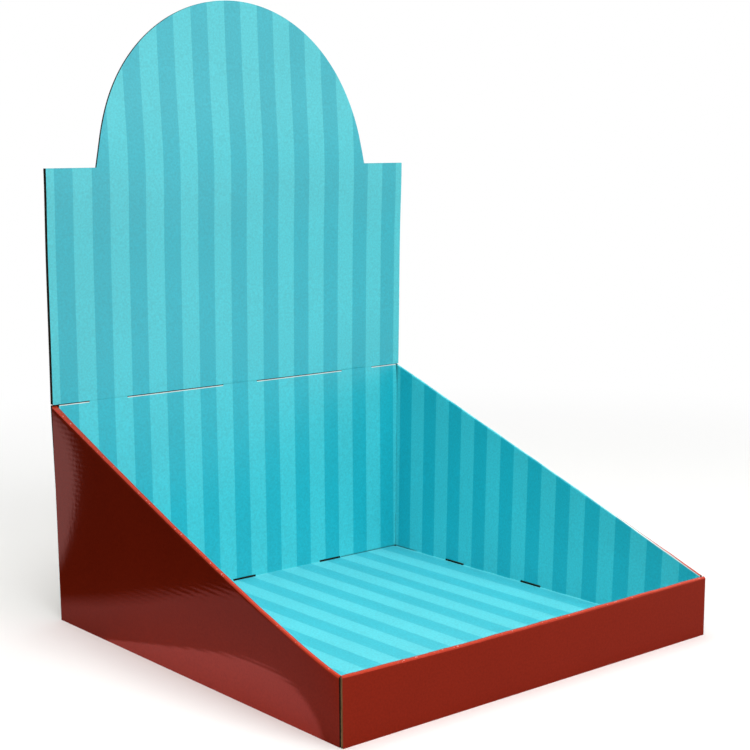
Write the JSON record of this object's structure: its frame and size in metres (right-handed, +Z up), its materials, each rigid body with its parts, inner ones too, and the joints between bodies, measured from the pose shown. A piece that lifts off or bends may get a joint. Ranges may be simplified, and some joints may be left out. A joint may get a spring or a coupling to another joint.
{
  "type": "cardboard display rack",
  "caption": "Folded corrugated card counter display: open tray with sloped rolled side walls, a low front lip and an upright back that rises into an arched header.",
  "frame": {"origin": "centre of the footprint, on the counter that the tray stands on", "axes": "+Z up, -Y towards the front lip, +X to the right seen from the front"},
  "size_m": [0.3, 0.304, 0.41],
  "materials": {
    "printed_board": "corrugated board with a laminated print, teal stripes inside and gloss red outside",
    "kraft_board": "plain unprinted kraft corrugated board"
  },
  "bodies": {
    "root": {"display_tray": "printed_board", "back_stiffener": "kraft_board"}
  },
  "joints": []
}
